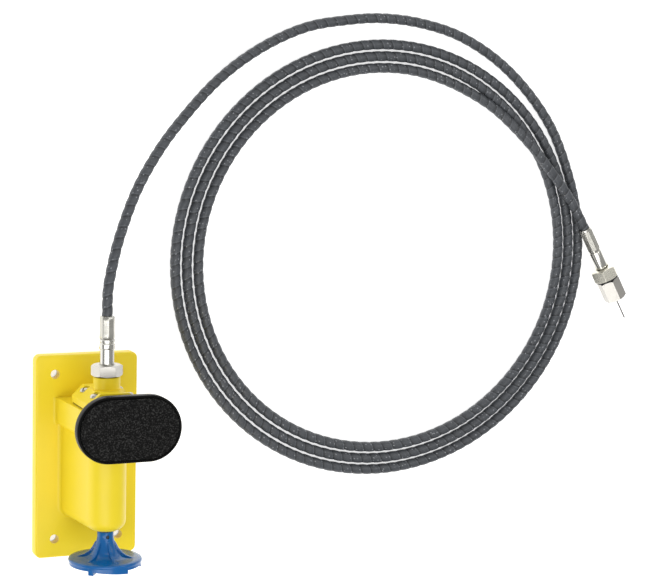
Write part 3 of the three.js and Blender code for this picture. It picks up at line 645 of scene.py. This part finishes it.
def union(builders):
    """One closed mesh from several overlapping ones."""
    pieces = []
    for build in builders:
        shape = bmesh.new()
        build(shape)
        bmesh.ops.recalc_face_normals(shape, faces=shape.faces)
        mesh = bpy.data.meshes.new("part")
        shape.to_mesh(mesh)
        shape.free()
        pieces.append(bpy.data.objects.new("part", mesh))
        scene.collection.objects.link(pieces[-1])
    for other in pieces[1:]:
        step = pieces[0].modifiers.new("join", "BOOLEAN")
        step.operation, step.solver, step.object = "UNION", "EXACT", other
    graph = bpy.context.evaluated_depsgraph_get()
    joined = bmesh.new()
    joined.from_mesh(pieces[0].evaluated_get(graph).to_mesh())
    for piece in pieces:
        mesh = piece.data
        bpy.data.objects.remove(piece)
        bpy.data.meshes.remove(mesh)
    return joined


bm = union([
    plate,
    lambda shape: along_y(shape, body_outline, -61.5, 50, 11.0, 0.0),
    lambda shape: along_y(shape, block_section, 33.5, 61.5, 4.5, 0.8),
    lambda shape: cylinder(shape, 14, (0, STEM_Y, 104), (0, STEM_Y, 118), 72),
])
cutters = [
    slab_tool(92.6, 194.6, 3.3, -1, 3.3),
    plate_pocket(),
    y_tool(nose_outline(23, 2, 16), -57, 48),
    y_tool(block_outline(28.5, 23.5, 2, 105.5, 6), 35, 58),
    tool_of(box, (-13.5, 55, 68), (13.5, 63, 92)),
    tool_of(cylinder, 10.3, (0, STEM_Y, 100), (0, STEM_Y, 120)),
    tool_of(cylinder, 7.3, (0, -64, AXIS_Z), (0, -55, AXIS_Z)),
]
cutters += [tool_of(cylinder, 4.6, (x, y, -1), (x, y, 16), 48) for x, y in HOLES]
cutters += [tool_of(cylinder, 2.2, (x, y, 0), (x, y, 11), 24) for x, y in BACK_SCREWS]
cutters += [tool_of(cylinder, 1.9, (x, 52, z), (x, 63, z), 24) for x, z in SCREWS]
housing = store("housing", bm, YELLOW, ("housing",), bevel=0.6, cutters=cutters, shade=28.0)

# The steel back plate is let into the rear and held by countersunk screws; the four mounting holes run through it.
bm = tool_of(loft, [[(x, y, z) for x, y in plate_outline(92, 194, 3)] for z in (0, 3)])
cutters = [tool_of(cylinder, 4.8, (x, y, -1), (x, y, 4), 48) for x, y in HOLES]
cutters += [tool_of(cylinder, 5.0, (x, y, -1), (x, y, 2.4), 32) for x, y in BACK_SCREWS]
cutters += [tool_of(cylinder, 2.4, (x, y, -1), (x, y, 4), 24) for x, y in BACK_SCREWS]
store("back_plate", bm, STEEL, ("back_plate",), bevel=0.3, cutters=cutters)
for number, (x, y) in enumerate(BACK_SCREWS, 1):
    bm = bmesh.new()
    lathe(bm, [(0, 0.1), (3.7, 0.1), (3.8, 0.3), (1.7, 2.2), (1.7, 9.9), (0, 9.9)], 40)
    stand = Matrix.Translation((x, y, 0)) @ Matrix.Rotation(math.pi / 2, 4, "X")
    slot_cut = [tool_of(box, (-5, -1, -0.5), (5, 0.9, 0.5))]
    store(f"back_screw_{number}", bm, STEEL, (f"back_screw_{number}",), place=stand, cutters=slot_cut)

# ---------- cable cover ----------
# A roof-shaped cap over the block's end: four spot-faced screws and the spigot that the ferrule leaves by.

roof = [(26, 62.9), (26, 69.5), (15, 80), (-15, 80), (-26, 69.5), (-26, 62.9)]


def cover_shape(shape):
    loft(shape, [[(x, y, z) for x, y in roof] for z in (48, 108)])


def spigot_shape(shape):
    lathe(shape, [(0, 70), (13.3, 70), (13.3, 91.8), (12.5, 92.6), (0, 92.6)])
    bmesh.ops.translate(shape, vec=(0, 0, AXIS_Z), verts=shape.verts)


bm = union([cover_shape, spigot_shape])
cutters = [
    tool_of(box, (-13.5, 60, 68), (13.5, 78, 92)),
    tool_of(cylinder, 7.35, (0, 70, AXIS_Z), (0, 95, AXIS_Z)),
]
cutters += [tool_of(cylinder, 5.5, (x, 75, z), (x, 90, z), 48) for x, z in SCREWS]
cutters += [tool_of(cylinder, 2.3, (x, 60, z), (x, 90, z), 24) for x, z in SCREWS]
store("cable_cover", bm, YELLOW, ("cable_cover",), bevel=0.8, cutters=cutters)

bm = bmesh.new()
box(bm, (-25, 61.8, 49), (25, 62.6, 107))
cutters = [tool_of(box, (-13.5, 60, 68), (13.5, 64, 92))]
cutters += [tool_of(cylinder, 2.3, (x, 60, z), (x, 66, z), 24) for x, z in SCREWS]
store("cover_gasket", bm, RUBBER, ("cover_gasket",), cutters=cutters)

for number, ((x, z), turn) in enumerate(zip(SCREWS, (130, 60, 50, 35)), 1):
    node = f"cover_screw_{number}"
    bm = bmesh.new()
    lathe(bm, [
        (0, 52.5), (1.6, 52.5), (1.6, 75.1), (4.4, 75.1), (4.6, 75.4), (4.6, 76.6), (4.2, 77.6), (3.2, 78.4),
        (1.6, 78.75), (0, 78.8),
    ], 48)
    drive = bmesh.new()
    made = box(drive, (-6, 77.2, -0.65), (6, 80, 0.65))
    bmesh.ops.rotate(drive, matrix=Matrix.Rotation(math.radians(turn), 3, "Y"), verts=made)
    place = Matrix.Translation((x, 0, z))
    store(f"cover_screw_{number}", bm, SATIN, (node,), place=place, cutters=[drive], bevel=0.12)

# ---------- gland nut and ferrule ----------
# Satin hex nut, then a turned ferrule: bright tube, grooved collar and a crimped, faceted grip on the conduit.

bm = bmesh.new()
hexagon(bm, 27, 93, 104.4, 17)
store(
    "cable_nut", bm, SATIN, ("cable_nut",), place=VALVE_AXIS, bevel=0.25,
    meet=hex_envelope(27, 93, 104.4), cutters=[tool_of(cylinder, 7.4, (0, 90, 0), (0, 110, 0))],
)

bm = bmesh.new()
lathe(bm, [
    (1.6, 86), (7.1, 86), (7.1, 119.6), (7.6, 120), (7.75, 120.5), (7.75, 124.9), (7.4, 125.3), (7.0, 125.6),
    (7.0, 126.3), (7.4, 126.6), (7.75, 127), (7.75, 129.1), (7.3, 129.6), (0, 129.6), (0, 120), (1.6, 120), (1.6, 86),
])
store("cable_ferrule", bm, POLISHED, ("cable_ferrule",), place=VALVE_AXIS)

CRIMP_SIDES = 8
bm = bmesh.new()
rings = []
for y, radius in ((129.7, 7.0), (130.5, 7.55), (135, 7.45), (141, 7.3), (148, 7.4), (151.4, 7.55), (152.3, 6.9)):
    ring = []
    for k in range(CRIMP_SIDES * 6):
        angle = math.tau * k / (CRIMP_SIDES * 6)
        ridge = abs(math.cos(angle * CRIMP_SIDES / 2 + 0.4)) ** 5
        reach = radius - 0.35 + 0.42 * ridge
        ring.append((reach * math.sin(angle), y, reach * math.cos(angle)))
    rings.append(ring)
loft(bm, rings)
store("ferrule_crimp", bm, BRUSHED, place=VALVE_AXIS, shade=50.0)

# ---------- pedal ----------
# An obround black pad with a glossy raised rim round a textured rubber sheet, on a sprung stem.

PAD_CENTRE = Matrix.Translation((0, 54, 0))


def obround(inset, z, steps=28):
    return [(x, y, z) for x, y in plate_outline(104 - 2 * inset, 65 - 2 * inset, 32.5 - inset - 0.001, steps)]


def pad_shape(shape):
    loft(shape, [
        obround(1.6, 146), obround(0.6, 146.5), obround(0.1, 147.6), obround(0, 149), obround(0, 155.6),
        obround(0.25, 156.8), obround(0.9, 157.55), obround(1.5, 157.75), obround(2.1, 157.6),
        obround(2.5, 157.2), obround(2.62, 156.6), obround(2.62, 155.1),
    ])


bm = union([pad_shape, lambda shape: cylinder(shape, 14, (0, -7, 142), (0, -7, 147), 64)])
cutters = [tool_of(cylinder, 4.8, (0, -7, 140), (0, -7, 150.3), 40), tool_of(cylinder, 5.3, (0, -7, 150), (0, -7, 156), 40)]
store("pedal_plate", bm, RIM_BLACK, ("pedal_plate",), "pedal", PAD_CENTRE, cutters=cutters)

bm = bmesh.new()
loft(bm, [obround(2.95, 155.4), obround(2.95, 157.3), obround(3.2, 157.75), obround(3.7, 157.95), obround(6.0, 158)])
store("pedal_grip", bm, GRIP, ("pedal_grip",), "pedal", PAD_CENTRE)

STEM_AXIS = Matrix.Translation((0, STEM_Y, 0)) @ Matrix.Rotation(math.pi / 2, 4, "X")
bm = bmesh.new()
lathe(bm, [
    (0, 64.3), (6.2, 64.3), (7, 65.1), (7, 100.3), (6, 100.3), (6, 102.4), (7, 102.4), (7, 141.7), (4.5, 141.7),
    (4.5, 150), (0, 150),
])
store("pedal_stem", bm, POLISHED, ("pedal_stem",), "pedal", STEM_AXIS)

# The coil spring round the stem, drawn at rest and given a mesh of its own; on the real valve it closes up as the pedal
# goes down, but nothing here moves it.
bm = bmesh.new()
spring_route = []
SPRING_TURNS = 3.75
for k in range(int(SPRING_TURNS * 40) + 1):
    angle = math.tau * k / 40
    rise = 119.4 + (140.6 - 119.4) * k / (SPRING_TURNS * 40)
    spring_route.append(Vector((11.6 * math.cos(angle), STEM_Y + 11.6 * math.sin(angle), rise)))
side = Vector((0, 0, 1))
rows = []
for k, centre in enumerate(spring_route):
    tangent = (spring_route[min(k + 1, len(spring_route) - 1)] - spring_route[max(k - 1, 0)]).normalized()
    outward = Vector((centre.x, centre.y - STEM_Y, 0)).normalized()
    over = tangent.cross(outward)
    turns = [math.tau * i / 12 for i in range(12)]
    rows.append([centre + 1.05 * (math.cos(t) * outward + math.sin(t) * over) for t in turns])
loft(bm, rows)
spring = store("pedal_spring", bm, STEEL, ("pedal_spring",), shade=60.0)
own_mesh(spring)

# ---------- knob ----------
# Glossy star knob: narrow neck with a grub-screw dimple, a ribbed trumpet flare, a thin disc and lugs under its rim.

bm = bmesh.new()
lathe(bm, [
    (0, -93.2), (34.9, -93.2), (35.9, -92.8), (36.5, -91.8), (36.5, -90.6), (36.1, -89.8), (35.3, -89.35),
    (31, -89.25), (26, -89.1), (21.8, -88.6), (18.4, -87.6), (15.6, -85.8), (13.3, -83.2), (11.5, -80),
    (10.1, -76.4), (9.1, -73), (8.4, -70), (8.1, -67), (8.1, -63.4), (7.8, -62.8), (7.3, -62.6), (0, -62.6),
], 128)
dimple = [tool_of(cylinder, 4.35, (0, -84.5, 0), (0, -60, 0)), tool_of(cylinder, 1.9, (0, -67.5, 2), (0, -67.5, 12), 32)]
knob = store("knob", bm, BLUE, ("knob",), "knob", VALVE_AXIS, 0.35, dimple, shade=40.0)

for k in range(6):
    bm = bmesh.new()
    angle = math.radians(35 + 60 * k)
    profile = [(7, -90), (33, -90), (27, -88.7), (21, -86.6), (16.4, -83.4), (13, -79), (10.6, -74.5), (7, -70)]
    loft(bm, [[(x, y, z) for x, y in profile] for z in (-1.4, 1.4)])
    turn = VALVE_AXIS @ Matrix.Rotation(angle, 4, "Y")
    store(f"knob_rib_{k + 1}", bm, BLUE, body="knob", place=turn, bevel=0.7, shade=40.0)


def skirt(bm, start, stop, low_start, low_stop, inner=27.0, outer=35.7):
    """A lug under the disc's rim, between two angles from the front, its lower edge running between two heights."""
    steps = max(3, int(abs(stop - start) / 3))
    shares = [i / steps for i in range(steps + 1)]
    ring = [(outer, share) for share in shares] + [(inner, share) for share in reversed(shares)]
    rims = []
    for top in (False, True):
        rim = []
        for radius, share in ring:
            turn = math.radians(start + (stop - start) * share)
            y = -92.4 if top else low_start + (low_stop - low_start) * share
            rim.append((radius * math.sin(turn), y, radius * math.cos(turn)))
        rims.append(rim)
    loft(bm, rims)


LUGS = (
    (-111.5, -44, -95.8, -95.8), (-45, -36, -99.8, -99.8), (-36.5, 22.5, -96.4, -99.4),
    (22, 69, -95.8, -95.8), (68, 135.5, -98.3, -98.3), (135, 249, -95.8, -95.8),
)
for number, lug in enumerate(LUGS, 1):
    bm = bmesh.new()
    skirt(bm, *lug)
    store(f"knob_lug_{number}", bm, BLUE, body="knob", place=VALVE_AXIS, bevel=0.6, shade=40.0)

bm = bmesh.new()
lathe(bm, [(0, -97.2), (13.4, -97.2), (14.2, -96.6), (14.4, -92.6), (0, -92.6)])
store("knob_boss", bm, BLUE, body="knob", place=VALVE_AXIS)

# ---------- inner pieces ----------
# Hidden, or seen only through a gap: the modelled solids themselves with a plain finish.

INSIDE = {
    STEEL: ("stem_stop_ring", "pedal_screw", "rocker_pin", "rocker", "yoke", "yoke_pin", "core_wire", "spindle"),
    BLACKED: ("knob_grub_screw",),
    BRONZE: ("guide_bush", "spindle_bush", "pusher_nut"),
    RUBBER: ("stem_wiper",),
}
for finish, names in INSIDE.items():
    for name in names:
        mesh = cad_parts[name].data
        mesh.materials.clear()
        mesh.materials.append(finish)

# ---------- floor and light ----------

bpy.ops.mesh.primitive_plane_add(size=12.0, location=(0.3, 0.2, -0.0002))
floor = bpy.context.object
floor.name = "floor"
floor_finish = bpy.data.materials.new("floor")
floor_finish.use_nodes = True
floor_finish.node_tree.nodes["Principled BSDF"].inputs["Base Color"].default_value = (0.9, 0.9, 0.9, 1.0)
floor_finish.node_tree.nodes["Principled BSDF"].inputs["Roughness"].default_value = 0.7
floor_finish.node_tree.nodes["Principled BSDF"].inputs["Emission Color"].default_value = (1.0, 1.0, 1.0, 1.0)
floor_finish.node_tree.nodes["Principled BSDF"].inputs["Emission Strength"].default_value = 0.62
floor.data.materials.append(floor_finish)


def lamp(name, place, target, size, power):
    data = bpy.data.lights.new(name, "AREA")
    data.shape, data.size, data.size_y, data.energy = "RECTANGLE", size[0], size[1], power
    light = bpy.data.objects.new(name, data)
    aim = Vector(target) - Vector(place)
    light.matrix_world = Matrix.Translation(place) @ aim.to_track_quat("-Z", "Y").to_matrix().to_4x4()
    scene.collection.objects.link(light)
    return light


lights = [
    lamp("overhead", (-0.35, -0.35, 2.25), (0.2, 0.1, 0), (1.2, 2.6), 21),
    lamp("left", (-1.5, -0.5, 1.7), (0.1, 0.1, 0), (0.7, 1.2), 5),
    lamp("far", (0.3, 2.0, 1.5), (0.2, 0, 0), (1.6, 0.4), 5),
    lamp("right", (1.5, 0.9, 1.6), (0.2, 0.1, 0), (0.7, 1.2), 7),
    lamp("near", (-0.15, -1.0, 1.3), (0.6, 0.15, 0), (0.9, 0.6), 3),
]
world = bpy.data.worlds.new("studio")
world.use_nodes = True
world.node_tree.nodes["Background"].inputs["Color"].default_value = (1, 1, 1, 1)
world.node_tree.nodes["Background"].inputs["Strength"].default_value = 0.42
scene.world = world
